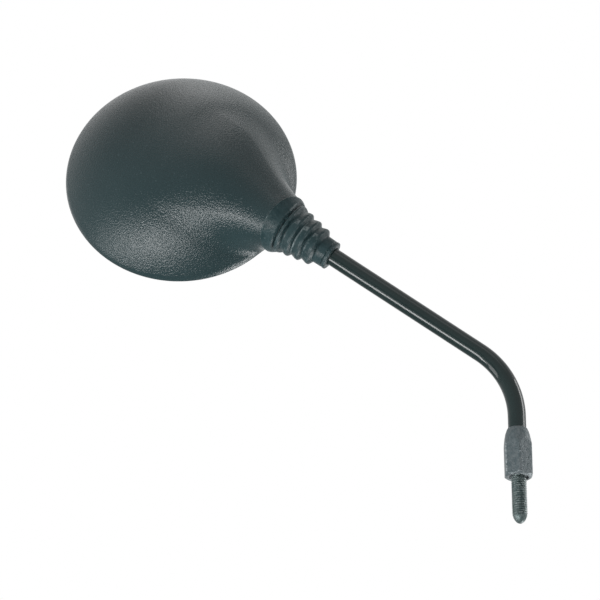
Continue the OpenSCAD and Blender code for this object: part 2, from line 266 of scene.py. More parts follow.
class Nodes:
    """A thin hand for building a node tree in code."""

    def __init__(self, tree: bpy.types.NodeTree) -> None:
        """Keeps the tree that the nodes go into."""
        self.tree = tree
        self.column = 0

    def add(self, kind: str, **settings: object) -> bpy.types.Node:
        """Adds a node, sets its properties, and sets sockets named in `values`."""
        values = settings.pop("values", {})
        node = self.tree.nodes.new(kind)
        node.location = (self.column * 180, 0)
        self.column += 1
        for key, value in settings.items():
            setattr(node, key, value)
        for key, value in values.items():
            node.inputs[key].default_value = value
        return node

    def link(self, source: Socket, target: Socket) -> None:
        """Joins an output to an input."""
        self.tree.links.new(source, target)

    def spread(self, source: Socket, low: float, high: float, out: Pair) -> Socket:
        """Maps a value's range onto another and returns the new value."""
        node = self.add("ShaderNodeMapRange")
        for socket, value in zip(list(node.inputs)[1:5], (low, high, *out)):
            socket.default_value = value
        self.link(source, node.inputs[0])
        return node.outputs[0]

    def blend(self, factor: Socket, under: Socket | Triple, over: Triple) -> Socket:
        """Lays a tone over a tone or a colour output, and returns the colour.

        The Mix node's colours are its inputs 6 and 7 and its output 2.
        """
        node = self.add("ShaderNodeMix", data_type="RGBA")
        self.link(factor, node.inputs[0])
        if isinstance(under, Socket):
            self.link(under, node.inputs[6])
        else:
            node.inputs[6].default_value = (*under, 1)
        node.inputs[7].default_value = (*over, 1)
        return node.outputs[2]

    def effect(self, effect: "Effect", values: dict[str, float]) -> bpy.types.Node:
        """Places a shared effect with its own values."""
        return self.add("ShaderNodeGroup", node_tree=effect_group(effect), values=values)

    def seen_by(self, *rays: str) -> Socket:
        """Returns 1 for the named kinds of rays and 0 for all others."""
        path = self.add("ShaderNodeLightPath")
        total = path.outputs[rays[0]]
        for ray in rays[1:]:
            both = self.add("ShaderNodeMath", operation="ADD", use_clamp=True)
            self.link(total, both.inputs[0])
            self.link(path.outputs[ray], both.inputs[1])
            total = both.outputs[0]
        return total


class Effect(Enum):
    """Surface effects that several finishes share."""

    GRAIN = "surface_grain"
    MOTTLE = "slow_mottle"
    # Edge and groove mask: worn edges, and on the boot a painted highlight on the rib crests and
    # painted shade in the grooves
    SHARPNESS = "sharpness_mask_group"


def effect_group(effect: Effect) -> bpy.types.NodeTree:
    """Returns an effect's node group, built on its first use."""
    found = bpy.data.node_groups.get(effect.value)
    if found:
        return found
    group = bpy.data.node_groups.new(effect.value, "ShaderNodeTree")
    builders = {
        Effect.GRAIN: build_grain,
        Effect.MOTTLE: build_mottle,
        Effect.SHARPNESS: build_sharpness_mask,
    }
    builders[effect](group)
    return group


def group_sockets(
    group: bpy.types.NodeTree, inputs: dict[str, float], outputs: Sequence[str]
) -> tuple[bpy.types.Node, bpy.types.Node, Nodes]:
    """Makes a group's sockets and its two end nodes.

    Args:
        group: the node group.
        inputs: each input's name and default value.
        outputs: each output's name.

    Returns:
        The input node, the output node and a hand for adding more.
    """
    for name, value in inputs.items():
        socket = group.interface.new_socket(name, in_out="INPUT", socket_type="NodeSocketFloat")
        socket.default_value = value
    for name in outputs:
        group.interface.new_socket(name, in_out="OUTPUT", socket_type="NodeSocketFloat")
    nodes = Nodes(group)
    return nodes.add("NodeGroupInput"), nodes.add("NodeGroupOutput"), nodes


def build_grain(group: bpy.types.NodeTree) -> None:
    """Fine moulded or blasted grain: a height for bump and a mask of its pits."""
    start, end, nodes = group_sockets(
        group, {"Grains per metre": 1500.0, "Softness": 0.5}, ["Height", "Pits"]
    )
    place = nodes.add("ShaderNodeTexCoord").outputs["Object"]
    noise = nodes.add("ShaderNodeTexNoise", values={"Detail": 3.0})
    cells = nodes.add("ShaderNodeTexVoronoi", feature="F1")
    for texture in (noise, cells):
        nodes.link(place, texture.inputs["Vector"])
        nodes.link(start.outputs["Grains per metre"], texture.inputs["Scale"])
    nodes.link(start.outputs["Softness"], noise.inputs["Roughness"])
    add = nodes.add("ShaderNodeMath", operation="MULTIPLY_ADD")
    add.inputs[1].default_value = 0.5
    nodes.link(cells.outputs["Distance"], add.inputs[0])
    nodes.link(noise.outputs[0], add.inputs[2])
    nodes.link(add.outputs[0], end.inputs["Height"])
    nodes.link(nodes.spread(add.outputs[0], 0.45, 0.95, (0, 1)), end.inputs["Pits"])


def build_mottle(group: bpy.types.NodeTree) -> None:
    """Slow clouds of tone over a surface, with a scatter of small specks."""
    start, end, nodes = group_sockets(
        group, {"Clouds per metre": 25.0, "Specks per metre": 900.0}, ["Cloud", "Specks"]
    )
    place = nodes.add("ShaderNodeTexCoord").outputs["Object"]
    cloud = nodes.add("ShaderNodeTexNoise", values={"Detail": 4.0, "Roughness": 0.55})
    specks = nodes.add("ShaderNodeTexNoise", values={"Detail": 1.0, "Roughness": 0.4})
    for texture, scale in ((cloud, "Clouds per metre"), (specks, "Specks per metre")):
        nodes.link(place, texture.inputs["Vector"])
        nodes.link(start.outputs[scale], texture.inputs["Scale"])
    nodes.link(nodes.spread(cloud.outputs[0], 0.35, 0.65, (0, 1)), end.inputs["Cloud"])
    nodes.link(nodes.spread(specks.outputs[0], 0.68, 0.8, (0, 1)), end.inputs["Specks"])


def build_sharpness_mask(group: bpy.types.NodeTree) -> None:
    """Rubbed convex edges, broken up by noise, as a mask; with its span turned round it marks
    grooves. On the boot it carries a painted highlight on the rib crests and painted shade in the
    grooves.
    """
    start, end, nodes = group_sockets(
        group,
        {"Edge from": 0.52, "Edge to": 0.6, "Breaks per metre": 700.0, "Steady share": 0.0},
        ["Mask"],
    )
    place = nodes.add("ShaderNodeTexCoord").outputs["Object"]
    noise = nodes.add("ShaderNodeTexNoise", values={"Detail": 5.0, "Roughness": 0.65})
    nodes.link(place, noise.inputs["Vector"])
    nodes.link(start.outputs["Breaks per metre"], noise.inputs["Scale"])
    point = nodes.add("ShaderNodeNewGeometry").outputs["Pointiness"]
    edge = nodes.add("ShaderNodeMapRange")
    nodes.link(point, edge.inputs[0])
    nodes.link(start.outputs["Edge from"], edge.inputs[1])
    nodes.link(start.outputs["Edge to"], edge.inputs[2])
    product = nodes.add("ShaderNodeMath", operation="MULTIPLY", use_clamp=True)
    nodes.link(edge.outputs[0], product.inputs[0])
    breaks = nodes.spread(noise.outputs[0], 0.4, 0.62, (0, 1))
    # Input 3 is the mask's least value, so that a steady share stays unbroken
    nodes.link(start.outputs["Steady share"], breaks.node.inputs[3])
    nodes.link(breaks, product.inputs[1])
    nodes.link(product.outputs[0], end.inputs["Mask"])


# Finishes


@dataclass(frozen=True)
class Finish:
    """One finish: two tones, gloss, grain, worn edges, a painted edge highlight and painted shade
    in grooves, made into a material.
    """

    name: str
    tone: Triple
    tone_2: Triple
    roughness: Pair
    metallic: float = 0.0
    specular: float = 0.5
    coat: float = 0.0
    coat_roughness: float = 0.1
    grain_per_m: float = 1500.0
    grain_depth: float = 0.00002
    grain_strength: float = 0.3
    clouds_per_m: float = 25.0
    specks_per_m: float = 900.0
    speck_tone: Triple | None = None
    # Edge tone: worn edges, and on the boot a painted highlight on the rib crests
    edge_wear_and_highlight_tone: Triple | None = None
    # Groove tone: painted shade, laid dark into grooves
    painted_groove_shade_tone: Triple | None = None
    edge_span: Pair = (0.52, 0.6)
    groove_shade_span: Pair = (0.49, 0.42)
    groove_shade_steady: float = 0.8
    breaks_per_m: float = 700.0

    @functools.cache
    def material(self) -> bpy.types.Material:
        """Returns the finish's material, made on its first use."""
        mat = bpy.data.materials.new(self.name)
        mat.use_nodes = True
        mat.node_tree.nodes.clear()
        nodes = Nodes(mat.node_tree)
        shader = nodes.add(
            "ShaderNodeBsdfPrincipled",
            values={
                "Metallic": self.metallic,
                "Specular IOR Level": self.specular,
                "Coat Weight": self.coat,
                "Coat Roughness": self.coat_roughness,
            },
        )
        output = nodes.add("ShaderNodeOutputMaterial")
        nodes.link(shader.outputs[0], output.inputs[0])
        self.dress(nodes, shader)
        mat.diffuse_color = (*self.tone, 1)
        return mat

    def dress(self, nodes: Nodes, shader: bpy.types.Node) -> None:
        """Joins the shared effects to the shader's colour, roughness and normal."""
        clouds = {"Clouds per metre": self.clouds_per_m, "Specks per metre": self.specks_per_m}
        mottle = nodes.effect(Effect.MOTTLE, clouds)
        grain = nodes.effect(Effect.GRAIN, {"Grains per metre": self.grain_per_m})
        colour = nodes.blend(mottle.outputs["Cloud"], self.tone, self.tone_2)
        if self.speck_tone:
            colour = nodes.blend(mottle.outputs["Specks"], colour, self.speck_tone)
        # Convex edges take the edge tone: worn edges on metal, a painted highlight on the boot's
        # rib crests
        if self.edge_wear_and_highlight_tone:
            pointiness_mask = self.mask_past_span(nodes, self.edge_span, 0.0)
            colour = nodes.blend(pointiness_mask, colour, self.edge_wear_and_highlight_tone)
        # Grooves take the groove tone: painted shade
        if self.painted_groove_shade_tone:
            groove = self.mask_past_span(nodes, self.groove_shade_span, self.groove_shade_steady)
            colour = nodes.blend(groove, colour, self.painted_groove_shade_tone)
        nodes.link(colour, shader.inputs["Base Color"])
        rough = nodes.spread(grain.outputs["Pits"], 0, 1, self.roughness)
        nodes.link(rough, shader.inputs["Roughness"])
        heights = {"Distance": self.grain_depth, "Strength": self.grain_strength}
        bump = nodes.add("ShaderNodeBump", values=heights)
        nodes.link(grain.outputs["Height"], bump.inputs["Height"])
        nodes.link(bump.outputs[0], shader.inputs["Normal"])

    def mask_past_span(self, nodes: Nodes, span: Pair, steady: float) -> Socket:
        """Returns the mask of the edges or grooves whose sharpness lies past a span."""
        pointiness_mask = {
            "Edge from": span[0],
            "Edge to": span[1],
            "Breaks per metre": self.breaks_per_m,
            "Steady share": steady,
        }
        return nodes.effect(Effect.SHARPNESS, pointiness_mask).outputs["Mask"]

    def on(self, obj: Thing) -> Thing:
        """Makes this the object's only material, and returns the object."""
        obj.data.materials.clear()
        obj.data.materials.append(self.material())
        return obj


HOUSING = Finish(
    "housing_grained_plastic", (0.011, 0.026, 0.029), (0.015, 0.031, 0.034), (0.22, 0.30),
    specular=0.26, grain_per_m=1300, grain_depth=0.0002, grain_strength=0.9,
    clouds_per_m=18, specks_per_m=1000, speck_tone=(0.040, 0.062, 0.068),
)
STEM_PAINT = Finish(
    "stem_gloss_black", (0.004, 0.013, 0.013), (0.006, 0.016, 0.016), (0.24, 0.32),
    specular=0.1, coat=0.4, coat_roughness=0.06, grain_per_m=500, grain_depth=0.00001,
    grain_strength=0.05, specks_per_m=1500, speck_tone=(0.014, 0.024, 0.024),
)
ADAPTER_STEEL = Finish(
    "adapter_satin_grey", (0.045, 0.065, 0.072), (0.090, 0.108, 0.115), (0.40, 0.55),
    metallic=0.25, specular=0.45, grain_per_m=1200, grain_depth=0.0003,
    grain_strength=0.8, clouds_per_m=420, edge_wear_and_highlight_tone=(0.30, 0.33, 0.34),
    edge_span=(0.51, 0.56), breaks_per_m=900,
)
STUD_OXIDE = Finish(
    "stud_black_oxide", (0.030, 0.052, 0.052), (0.085, 0.110, 0.110), (0.34, 0.48),
    metallic=0.35, specular=0.45, grain_per_m=1200, grain_depth=0.0002,
    grain_strength=0.7, clouds_per_m=700, edge_wear_and_highlight_tone=(0.20, 0.23, 0.23),
    edge_span=(0.505, 0.55),
)
BOOT_RUBBER = Finish(
    "boot_rubber", (0.013, 0.029, 0.032), (0.024, 0.044, 0.048), (0.26, 0.42),
    specular=0.12, grain_per_m=700, grain_depth=0.0003, grain_strength=0.5,
    clouds_per_m=260, specks_per_m=500, speck_tone=(0.055, 0.078, 0.080),
    # Edge tone: painted highlight on the rib crests; groove tone: painted shade in the grooves
    edge_wear_and_highlight_tone=(0.13, 0.16, 0.165), painted_groove_shade_tone=(0.001, 0.004, 0.005),
    edge_span=(0.505, 0.54), groove_shade_span=(0.498, 0.47), breaks_per_m=420,
)
GASKET_RUBBER = Finish(
    "gasket_rubber", (0.015, 0.019, 0.020), (0.021, 0.025, 0.026), (0.5, 0.62),
    specular=0.35, grain_per_m=2000, grain_depth=0.00003,
)
SILVERED_GLASS = Finish(
    "silvered_glass", (0.86, 0.89, 0.90), (0.88, 0.91, 0.92), (0.02, 0.035),
    metallic=1.0, coat=1.0, coat_roughness=0.02, grain_per_m=300, grain_depth=0.0000005,
    grain_strength=0.02, clouds_per_m=8,
)
LINER_NYLON = Finish(
    "liner_nylon", (0.68, 0.68, 0.62), (0.74, 0.74, 0.68), (0.35, 0.5), grain_per_m=1500
)
BALL_STEEL = Finish(
    "ball_ground_steel", (0.5, 0.51, 0.52), (0.58, 0.59, 0.6), (0.16, 0.3),
    metallic=1.0, grain_per_m=3000, grain_depth=0.000004,
)
CLAMP_ZINC = Finish(
    "clamp_die_cast", (0.30, 0.31, 0.32), (0.36, 0.37, 0.38), (0.38, 0.55),
    metallic=0.9, grain_per_m=1400, grain_depth=0.00003,
)
SCREW_ZINC = Finish(
    "screw_zinc_plate", (0.62, 0.63, 0.63), (0.70, 0.70, 0.68), (0.22, 0.36),
    metallic=1.0, grain_per_m=3000, grain_depth=0.000006, edge_wear_and_highlight_tone=(0.8, 0.8, 0.8),
)
FOAM_GREY = Finish(
    "foam_open_cell", (0.07, 0.072, 0.074), (0.1, 0.1, 0.104), (0.85, 0.95),
    specular=0.2, grain_per_m=900, grain_depth=0.0002, grain_strength=0.9,
)
PLATE_PLASTIC = Finish(
    "plate_black_plastic", (0.022, 0.025, 0.027), (0.03, 0.033, 0.035), (0.45, 0.6),
    grain_per_m=1200,
)


# Sizes and frames of the mirror


@dataclass(frozen=True)
class HeadSizes:
    """Sizes of the head and its neck, in millimetres and degrees."""

    head_r: float = 60.5
    rim_band: float = 2.4
    dome_rise: float = 34.0
    wall: float = 2.5
    ball_out: float = 1.9
    ball_rise: float = 20.2
    seat_u: float = 3.0
    seat_rake: float = 19.4
    seat_twist: float = 22.0
    fairing_r: float = 15.6
    fairing_flare: float = 12.0
    spigot_r: float = 11.6
    spigot_u: float = 8.0
    mouth_r: float = 9.6
    socket_r: float = 9.55
    socket_mouth: float = 52.0
    clamp_face: float = 5.0
    lip_r: float = 55.4
    lip_t: float = 0.45
    recess_r: float = 56.1
    recess_depth: float = 6.0

    @property
    def dome_r(self) -> float:
        """Radius of the dome's sphere."""
        return (self.head_r**2 + self.dome_rise**2) / (2 * self.dome_rise)

    @property
    def dome_z(self) -> float:
        """Height of the sphere's centre over the rim plane."""
        return self.rim_band + self.dome_rise - self.dome_r

    def along_rake(self, x: Array, y: Array) -> Array:
        """Returns how far places on the neck's section lie the way that the seat is raked."""
        twist = math.radians(self.seat_twist)
        return x * math.cos(twist) + y * math.sin(twist)


class MirrorFrames:
    """Local frames of the mirror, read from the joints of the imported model."""

    def __init__(self, sizes: HeadSizes) -> None:
        """Reads the ball joint's centre and axes, and works out the head's own frame."""
        joints = {j["name"]: j for j in frame["joints"]}
        centre = np.array(joints["head_turn"]["pos_m"], float)
        out, across, glassward = (
            np.array(joints[name]["axis"], float)
            for name in ("head_turn", "head_tilt", "head_swing")
        )
        self.ball = centre
        self.neck = Axes(centre, glassward, across, out)
        foot = self.neck.shifted((0, 0, sizes.seat_u)).turned_about_z(sizes.seat_twist)
        self.seat = foot.turned_about_y(-sizes.seat_rake)
        self.head = self.head_axes(sizes)

    def head_axes(self, sizes: HeadSizes) -> Axes:
        """Finds the head's frame: Z to the crown, X towards the neck, on the rim plane.

        The tilt of the rim plane to the neck follows from the backing plate, a disc that
        lies square to the head's own axis.
        """
        plate = np.array([v.co for v in frame["nodes"]["backing_plate"].data.vertices], float)
        crown = np.linalg.svd(plate - plate.mean(0), full_matrices=False)[2][2]
        crown = crown if crown @ self.neck.x < 0 else -crown
        x = np.cross(self.neck.y, crown)
        ball_on_head = Axes(self.ball, x, self.neck.y, crown)
        reach = sizes.head_r + sizes.ball_out
        return ball_on_head.shifted((-reach, 0, -sizes.ball_rise))


# Sub-assemblies


def report(piece: Thing) -> None:
    """Logs a piece with its size."""
    LOG.info("%s: %d faces", piece.name, len(piece.data.polygons))


def set_on(piece: Thing, body: str, node: str) -> None:
    """Sets a dressed piece on a body, in place of a node."""
    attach(piece, body)
    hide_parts(node)
    report(piece)


@dataclass
class Head:
    """Moulded housing, bent glass and gasket."""

    sizes: HeadSizes
    frames: MirrorFrames
    columns: int = 320
    glass_columns: int = 180
    skin_rows: int = 130
    fairing_end: float = 46.0
    fairing_end_round: float = 20.0
    crest_blend: float = 22.0
    rim_blend: float = 5.0
    crest_z: float = 30.0
    edge_blend: float = 1.2
    edge_round: float = 0.7
    heart_z: float = 6.0
    inner_heart_z: float = 7.0
    inner_rows_count: int = 40
    halvings: int = 42
    ledge: float = 1.0
    lip_soft: float = 0.15
    seat_reach: float = 40.0
    seat_lead: float = 0.4
    glass_bend: float = 1200.0
    glass_r: float = 54.94
    glass_front: float = 1.38
    glass_t: float = 2.0
    glass_grind: float = 0.25
    gasket_r: float = 56.07
    gasket_front: float = 0.48
    gasket_back: float = 4.34
    gasket_grip: float = 1.4

    def inside(self, p: Array, inset: float) -> Array:
        """Returns signed distances of head points to the skin, drawn in by an inset."""
        s = self.sizes
        ball = np.linalg.norm(p - np.array([0, 0, s.dome_z]), axis=-1) - (s.dome_r - inset)
        band = np.hypot(p[..., 0], p[..., 1]) - (s.head_r - inset)
        dome = smooth_max(ball, band, self.edge_blend)
        q = self.frames.seat.local(self.frames.head.place(p))
        flare = math.radians(s.fairing_flare)
        radius = s.fairing_r - inset - q[..., 2] * math.tan(flare)
        cone = (np.hypot(q[..., 0], q[..., 1]) - radius) * math.cos(flare)
        cone = smooth_max(cone, -q[..., 2] - self.fairing_end, self.fairing_end_round)
        if inset > 0:
            u = self.frames.neck.local(self.frames.head.place(p))[..., 2]
            cone = np.maximum(cone, u + s.clamp_face)
        share = np.clip(p[..., 2] / self.crest_z, 0, 1)
        reach = self.rim_blend + (self.crest_blend - self.rim_blend) * share
        return smooth_min(dome, cone, reach)

    def cast(self, start: Array, toward: Array, inset: float, far: float = 120.0) -> Array:
        """Finds where rays leave the skin.

        Args:
            start: the point inside that the rays leave, in head millimetres.
            toward: unit directions.
            inset: how far the skin is drawn in.
            far: a length at which every ray is outside.

        Returns:
            The points where the rays cross the skin.
        """
        low = np.zeros(toward.shape[:-1])
        high = np.full(toward.shape[:-1], far)
        for _ in range(self.halvings):
            mid = (low + high) / 2
            outside = self.inside(start + toward * mid[..., None], inset) > 0
            high = np.where(outside, mid, high)
            low = np.where(outside, low, mid)
        return start + toward * low[..., None]

    def sweep(
        self, heart: Array, first: Array, last: Array, shares: Array, inset: float
    ) -> Array:
        """Runs rows of points over the skin, between two rings of directions.

        Args:
            heart: the point inside from which the directions are taken.
            first: unit directions of the first ring.
            last: unit directions of the last ring.
            shares: how far each row lies from the first ring to the last.
            inset: how far the skin is drawn in.

        Returns:
            A row of points for each share.
        """
        angle = np.arccos(np.clip((first * last).sum(-1), -1, 1))[None, :, None]
        t = shares[:, None, None]
        toward = (np.sin((1 - t) * angle) * first + np.sin(t * angle) * last) / np.sin(angle)
        return self.cast(heart, toward, inset)

    def seat_centre(self) -> Array:
        """Returns the middle of the boot's seat in the head's frame."""
        return self.frames.head.local(self.frames.seat.place(np.zeros(3)))

    def seat_ring(self) -> Array:
        """Returns the ring where the skin meets the plane of the boot's seat."""
        spokes = around(turns(self.columns) - math.radians(self.sizes.seat_twist))
        centre = self.seat_centre()
        toward = self.frames.head.local(self.frames.seat.place(spokes)) - centre
        return self.cast(centre, toward, 0.0, self.seat_reach)

    def skin(self, ring: Array) -> Array:
        """Runs the outer skin from the seat's ring over the dome to the rim's edge."""
        heart = np.array([0, 0, self.heart_z])
        level = np.array([0, 0, self.edge_round])
        rim = self.cast(level, around(turns(self.columns)), 0.0)
        shares = np.linspace(0, 1, self.skin_rows + 1)
        return self.sweep(heart, unit(ring - heart), unit(rim - heart), shares, 0.0)

    def rim_rows(self, edge: Array) -> Array:
        """Rounds the rim's edge and runs in over the lip and the recess to the ledge."""
        s, r0 = self.sizes, self.edge_round
        out = np.hypot(edge[:, 0], edge[:, 1])
        unit = edge[:, :2] / out[:, None]
        rows = []
        for a in np.linspace(0, math.pi / 2, 6)[1:]:
            rows.append((out - r0 * (1 - math.cos(a)), np.full_like(out, r0 * (1 - math.sin(a)))))
        soft = self.lip_soft
        for radius, z in (
            (s.lip_r + soft, 0.0),
            (s.lip_r, soft),
            (s.lip_r, s.lip_t),
            (s.recess_r, s.lip_t),
            (s.recess_r, s.recess_depth),
            (s.recess_r - self.ledge, s.recess_depth),
        ):
            rows.append((np.full_like(out, radius), np.full_like(out, z)))
        return np.stack(
            [np.concatenate([unit * r[:, None], z[:, None]], axis=1) for r, z in rows]
        )

    def inner_rows(self, ledge: Array) -> Array:
        """Runs the inner skin from the ledge up to a pole under the crown."""
        heart = np.array([0, 0, self.inner_heart_z])
        first = unit(ledge - heart)
        up = np.array([0, 0, 1.0]) + 0 * first
        shares = np.linspace(0, 1, self.inner_rows_count)[1:]
        return self.sweep(heart, first, up, shares, self.sizes.wall)

    def neck_rows(self) -> Array:
        """Runs from a pole inside the ball's socket out of the mouth and down the spigot."""
        s = self.sizes
        back = np.linspace(math.pi, math.radians(s.socket_mouth), 30)
        bowl = np.stack([s.socket_r * np.sin(back), s.socket_r * np.cos(back)], axis=-1)
        end = round_path(
            [
                (*bowl[-1], 0),
                (s.mouth_r, s.spigot_u, 0.3),
                (s.spigot_r, s.spigot_u, 0.5),
                (s.spigot_r, s.spigot_u - 0.7, 0),
            ]
        )
        profile = np.concatenate([bowl, densify(end, 1.0)[1:]])
        return self.frames.head.local(lathe(self.frames.neck, profile, self.columns))

    def foot_ring(self) -> Array:
        """Returns the ring where the spigot stands on the plane of the boot's seat."""
        s = self.sizes
        ring = around(turns(self.columns), s.spigot_r)
        rise = s.along_rake(ring[..., 0], ring[..., 1]) * math.tan(math.radians(s.seat_rake))
        ring[..., 2] = s.seat_u + rise
        return self.frames.head.local(self.frames.neck.place(ring))

    def housing(self) -> Thing:
        """Builds the housing as one closed skin with its wall, mouth and glass recess."""
        ring = self.seat_ring()
        foot = self.foot_ring()
        lead = ring + (self.seat_centre() - ring) * self.seat_lead / self.sizes.fairing_r
        skin = self.skin(ring)
        rim = self.rim_rows(skin[-1])
        rows = np.concatenate(
            [
                self.neck_rows(),
                foot[None],
                ((foot + lead) / 2)[None],
                lead[None],
                skin,
                rim,
                self.inner_rows(rim[-1]),
            ]
        )
        return HOUSING.on(grid_mesh("housing_moulding", self.frames.head.place(rows), 33))

    def sag(self, r: Array) -> Array:
        """Returns the drop of the bent glass at a radius."""
        return self.glass_bend - np.sqrt(self.glass_bend**2 - r * r)

    def glass(self) -> Thing:
        """Builds the convex glass with ground edges."""
        edge, grind = self.glass_r, self.glass_grind
        r = np.linspace(0, edge - grind, 60)
        drop = self.sag(np.array([edge]))[0]
        front = np.stack([r, self.glass_front + 0.03 - drop + self.sag(r)], axis=-1)
        back = front[::-1] + np.array([0, self.glass_t - 0.06])
        sides = np.array(
            [[edge, self.glass_front + grind], [edge, self.glass_front + self.glass_t - grind]]
        )
        grid = lathe(self.frames.head, np.concatenate([front, sides, back]), self.glass_columns)
        return SILVERED_GLASS.on(grid_mesh("bent_glass", grid, 20))

    def gasket(self) -> Thing:
        """Builds the rubber channel round the glass, with rounded lips."""
        grip = self.glass_r - self.gasket_grip
        front, back = self.gasket_front, self.gasket_back
        inner_front, inner_back = self.glass_front - 0.02, self.glass_front + self.glass_t + 0.03
        path = round_path(
            [
                (self.gasket_r, (front + back) / 2, 0),
                (self.gasket_r, front, 0.2),
                (grip + 0.2, front, 0.45),
                (grip, front + 0.4, 0.2),
                (grip, inner_front, 0.1),
                (self.glass_r + 0.03, inner_front, 0),
                (self.glass_r + 0.03, inner_back, 0),
                (grip, inner_back, 0.1),
                (grip, back, 0.35),
                (self.gasket_r, back, 0.2),
                (self.gasket_r, (front + back) / 2, 0),
            ]
        )
        grid = lathe(self.frames.head, path[:-1], self.glass_columns)
        return GASKET_RUBBER.on(grid_mesh("glass_channel_rubber", grid, close_rows=True))

    def build(self) -> None:
        """Builds the pieces and sets them on the head's body."""
        set_on(self.housing(), "head", "housing_shell")
        set_on(self.glass(), "head", "mirror_glass")
        set_on(self.gasket(), "head", "glass_gasket")


@dataclass
class Boot:
    """Bellows boot in two lengths that meet at a groove."""

    sizes: HeadSizes
    frames: MirrorFrames
    collar_r: float = 16.3
    collar_top_r: float = 14.5
    first_rib: float = 5.0
    rib_pitch: float = 5.85
    rib_count: int = 4
    rib_r: float = 13.9
    rib_step: float = 1.13
    rib_half: float = 0.6
    groove_half: float = 0.45
    collar_groove: float = 1.2
    groove_depth: float = 1.9
    groove_lag: float = 2.3
    wall: float = 1.5
    tail_r: float = 7.7
    tail_len: float = 7.2
    bore_r: float = 5.05
    spigot_bore: float = 11.9
    seat_gap: float = 0.3
    columns: int = 144

    def rib_at(self, i: int) -> float:
        """Distance of a rib from the middle of the seat."""
        return self.first_rib + self.rib_pitch * i

    def crest(self, i: int) -> float:
        """Radius of a rib."""
        return self.rib_r - self.rib_step * i

    @property
    def seam(self) -> float:
        """Distance of the groove where the two lengths meet."""
        return self.rib_at(1) + self.groove_lag

    @property
    def tail_start(self) -> float:
        """Distance where the tail begins."""
        return self.rib_at(self.rib_count - 1) + self.groove_lag

    def rib(self, i: int, soft: float = 0.8) -> list[Triple]:
        """Corners of one rib, as radius, distance and rounding."""
        c, at = self.crest(i), self.rib_at(i)
        return [(c, at - self.rib_half, soft), (c, at + self.rib_half, soft)]

    def groove(self, i: int, soft: float = 0.6) -> list[Triple]:
        """Corners of the groove behind a rib."""
        c, at = self.crest(i) - self.groove_depth, self.rib_at(i) + self.groove_lag
        return [(c, at - self.groove_half, soft), (c, at + self.groove_half, soft)]

    def head_profile(self) -> Array:
        """Closed profile of the length that sits on the housing."""
        seam_r = self.crest(1) - self.groove_depth
        outside = [
            (self.spigot_bore, 0.0, 0),
            (self.collar_r - 0.4, 0.0, 0.2),
            (self.collar_r - 0.1, 0.35, 0.4),
            (self.collar_top_r + 0.1, 3.0, 0.8),
            (self.crest(0) - self.collar_groove, 3.75, 0.3),
            *self.rib(0),
            *self.groove(0),
            *self.rib(1),
            (seam_r, self.seam - self.groove_half, 0.5),
            (seam_r, self.seam, 0),
        ]
        inside = [
            (seam_r - self.wall, self.seam, 0),
            (self.crest(1) - self.wall, self.rib_at(1), 0.6),
            (self.crest(0) - self.groove_depth - self.wall, self.rib_at(0) + self.groove_lag, 0.5),
            (self.spigot_bore, self.first_rib + 0.6, 0.3),
            (self.spigot_bore, 0.0, 0),
        ]
        return np.concatenate([round_path(outside, 6), round_path(inside, 4)[:-1]])

    def tail_profile(self) -> Array:
        """Closed profile of the length that grips the stem."""
        seam_r = self.crest(1) - self.groove_depth
        end = self.tail_start + self.tail_len
        outside = [
            (seam_r, self.seam, 0),
            (seam_r, self.seam + self.groove_half, 0.5),
            *self.rib(2),
            *self.groove(2),
            *self.rib(3),
            (self.tail_r + 0.1, self.tail_start, 1.2),
            (self.tail_r, end - 2.4, 0.5),
            (self.tail_r - 0.35, end - 2.0, 0.3),
            (self.tail_r + 0.1, end - 1.5, 0.4),
            (self.tail_r + 0.1, end - 0.2, 0.5),
            (self.tail_r - 0.7, end, 0.4),
            (self.bore_r, end, 0),
        ]
        inside = [
            (self.bore_r, end, 0),
            (self.bore_r, self.tail_start + 0.6, 0.5),
            (self.crest(3) - self.wall, self.rib_at(3), 0.5),
            (self.crest(2) - self.groove_depth - self.wall, self.rib_at(2) + self.groove_lag, 0.5),
            (self.crest(2) - self.wall, self.rib_at(2), 0.5),
            (seam_r - self.wall, self.seam, 0),
        ]
        return np.concatenate([round_path(outside, 6), round_path(inside, 4)[1:]])

    def rake(self, local: Array) -> Array:
        """Leans the collar so that its foot lies on the raked seat."""
        out = local.copy()
        along = self.sizes.along_rake(local[..., 0], local[..., 1])
        foot = along * math.tan(math.radians(self.sizes.seat_rake))
        side = np.clip(along / self.collar_r + 0.5, 0, 1)
        low, high = self.first_rib - 0.8, self.seam
        top = low + (high - low) * side * side * (3 - 2 * side)
        share = np.clip(1 - local[..., 2] / top, 0, 1)
        share = share * share * (3 - 2 * share)
        out[..., 2] += foot * share + self.sizes.seat_u + self.seat_gap * share
        return out

    def lift(self, local: Array) -> Array:
        """Moves a length from the seat's scale to the neck's."""
        return local + np.array([0, 0, self.sizes.seat_u])

    def point(self, distance: float) -> Vector:
        """A point on the neck's axis, at a distance from the middle of the seat."""
        return Vector(self.frames.neck.place(np.array([0, 0, distance + self.sizes.seat_u])))

    def build(self) -> None:
        """Builds both lengths, bakes them in place and hides the imported boot."""
        for name, profile, warp, bodies, ends in (
            ("boot_collar_half", self.head_profile(), self.rake, ("liner", "head"),
             (self.seam, self.first_rib - 1.5)),
            ("boot_tail_half", self.tail_profile(), self.lift, ("boot", "liner"),
             (self.tail_start, self.seam)),
        ):
            grid = lathe(self.frames.neck, profile, self.columns, warp)
            piece = BOOT_RUBBER.on(grid_mesh(name, grid, 50, close_rows=True))
            self.point(ends[0])
            self.point(ends[1])
            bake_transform(piece)
            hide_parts("rubber_boot")
            report(piece)


